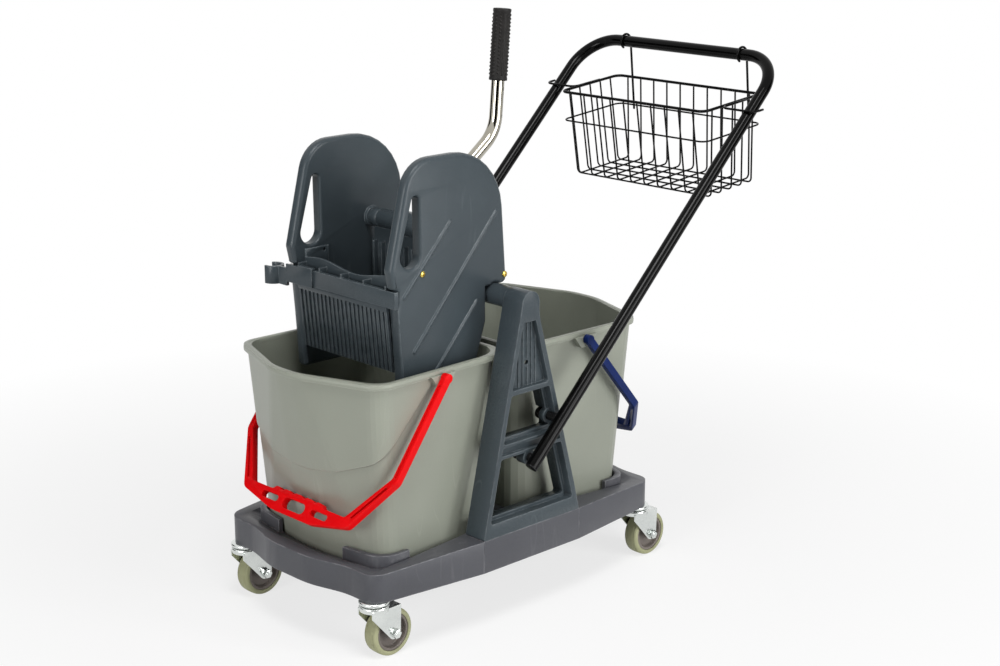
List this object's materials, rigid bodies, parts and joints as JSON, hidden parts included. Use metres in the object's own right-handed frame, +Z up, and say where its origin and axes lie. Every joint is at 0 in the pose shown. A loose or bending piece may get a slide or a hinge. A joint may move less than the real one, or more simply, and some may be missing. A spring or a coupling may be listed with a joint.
{
  "type": "mop bucket trolley",
  "caption": "Wheeled cleaning trolley with drafted buckets and bails on a moulded base, a lever wringer on uprights, a bent push handle and a hanging wire basket.",
  "frame": {"origin": "on the floor under the middle of the base", "axes": "+X towards the push handle, -X towards the wringer bucket, +Y to the side with the mop clip, +Z up"},
  "size_m": [0.9131, 0.475, 0.9187],
  "materials": {
    "slate_plastic": "fine grained moulded plastic",
    "bucket_plastic": "satin moulded plastic",
    "red_plastic": "satin moulded plastic",
    "blue_plastic": "satin moulded plastic",
    "black_paint": "gloss powder coat",
    "black_plastic": "satin moulded plastic",
    "zinc": "bright zinc plate",
    "yellow_zinc": "yellow passivated zinc",
    "nylon": "natural nylon",
    "chrome": "polished chrome",
    "grip_rubber": "ribbed black rubber",
    "wheel_plastic": "moulded plastic",
    "tyre": "soft grey rubber"
  },
  "bodies": {
    "chassis": {"front_tray": "slate_plastic", "centre_section": "slate_plastic", "rear_tray": "slate_plastic", "right_upright": "slate_plastic", "left_upright": "slate_plastic", "upright_screws": "zinc", "crossbar": "slate_plastic", "caster_mounts": "zinc", "push_handle": "black_paint", "handle_spacers": "black_plastic", "handle_bolts": "black_paint", "handle_nuts": "black_plastic", "handle_end_caps": "black_plastic", "right_side_plate": "slate_plastic", "left_side_plate": "slate_plastic", "front_bar": "slate_plastic", "front_grid": "slate_plastic", "sieve_floor": "slate_plastic", "rear_saddle": "slate_plastic", "mop_clip": "slate_plastic", "wringer_screws": "yellow_zinc", "press_shaft": "zinc", "shaft_bushes": "nylon", "return_springs": "zinc"},
    "press": {"press_hub": "slate_plastic", "press_plate": "slate_plastic", "lever_socket": "slate_plastic", "lever_tube": "chrome", "lever_grip": "grip_rubber", "lever_screw": "zinc"},
    "front_bucket_body": {"front_bucket": "bucket_plastic"},
    "front_bail_body": {"front_bail": "red_plastic"},
    "rear_bucket_body": {"rear_bucket": "bucket_plastic"},
    "rear_bail_body": {"rear_bail": "blue_plastic"},
    "basket": {"basket_rim": "black_paint", "basket_ring": "black_paint", "basket_front": "black_paint", "basket_back": "black_paint", "basket_left": "black_paint", "basket_right": "black_paint", "basket_floor": "black_paint", "basket_hooks": "black_paint", "basket_side_hooks": "black_paint"},
    "front_right_swivel": {"front_right_fork": "zinc", "front_right_axle": "zinc"},
    "front_right_roller": {"front_right_wheel": "wheel_plastic", "front_right_tyre": "tyre"},
    "front_left_swivel": {"front_left_fork": "zinc", "front_left_axle": "zinc"},
    "front_left_roller": {"front_left_wheel": "wheel_plastic", "front_left_tyre": "tyre"},
    "rear_right_swivel": {"rear_right_fork": "zinc", "rear_right_axle": "zinc"},
    "rear_right_roller": {"rear_right_wheel": "wheel_plastic", "rear_right_tyre": "tyre"},
    "rear_left_swivel": {"rear_left_fork": "zinc", "rear_left_axle": "zinc"},
    "rear_left_roller": {"rear_left_wheel": "wheel_plastic", "rear_left_tyre": "tyre"}
  },
  "joints": [
    {"name": "press_swing", "type": "hinge", "parent": "chassis", "child": "press", "pos_m": [-0.055, 0, 0.598], "axis": [0, 1, 0], "range_deg": [0, 38], "stiffness_Nm_per_rad": 1.6, "springref_deg": -51.57},
    {"name": "front_bucket_lift", "type": "slide", "parent": "chassis", "child": "front_bucket_body", "axis": [0, 0, 1], "range_m": [0, 0.04]},
    {"name": "rear_bucket_lift", "type": "slide", "parent": "chassis", "child": "rear_bucket_body", "axis": [0, 0, 1], "range_m": [0, 0.04]},
    {"name": "front_bail_swing", "type": "hinge", "parent": "front_bucket_body", "child": "front_bail_body", "pos_m": [-0.152, 0, 0.4103], "axis": [0, 1, 0], "range_deg": [0, 75]},
    {"name": "rear_bail_swing", "type": "hinge", "parent": "rear_bucket_body", "child": "rear_bail_body", "pos_m": [0.152, 0, 0.4103], "axis": [0, -1, 0], "range_deg": [0, 95]},
    {"name": "basket_lift", "type": "slide", "parent": "chassis", "child": "basket", "axis": [0, 0, 1], "range_m": [0, 0.045]},
    {"name": "front_right_swivel_turn", "type": "hinge", "parent": "chassis", "child": "front_right_swivel", "pos_m": [-0.286, -0.158, 0.09], "axis": [0, 0, 1], "continuous": true},
    {"name": "front_right_wheel_roll", "type": "hinge", "parent": "front_right_swivel", "child": "front_right_roller", "pos_m": [-0.26, -0.158, 0.0375], "axis": [0, 1, 0], "continuous": true},
    {"name": "front_left_swivel_turn", "type": "hinge", "parent": "chassis", "child": "front_left_swivel", "pos_m": [-0.286, 0.158, 0.09], "axis": [0, 0, 1], "continuous": true},
    {"name": "front_left_wheel_roll", "type": "hinge", "parent": "front_left_swivel", "child": "front_left_roller", "pos_m": [-0.26, 0.158, 0.0375], "axis": [0, 1, 0], "continuous": true},
    {"name": "rear_right_swivel_turn", "type": "hinge", "parent": "chassis", "child": "rear_right_swivel", "pos_m": [0.286, -0.158, 0.09], "axis": [0, 0, 1], "continuous": true},
    {"name": "rear_right_wheel_roll", "type": "hinge", "parent": "rear_right_swivel", "child": "rear_right_roller", "pos_m": [0.312, -0.158, 0.0375], "axis": [0, 1, 0], "continuous": true},
    {"name": "rear_left_swivel_turn", "type": "hinge", "parent": "chassis", "child": "rear_left_swivel", "pos_m": [0.286, 0.158, 0.09], "axis": [0, 0, 1], "continuous": true},
    {"name": "rear_left_wheel_roll", "type": "hinge", "parent": "rear_left_swivel", "child": "rear_left_roller", "pos_m": [0.312, 0.158, 0.0375], "axis": [0, 1, 0], "continuous": true}
  ]
}
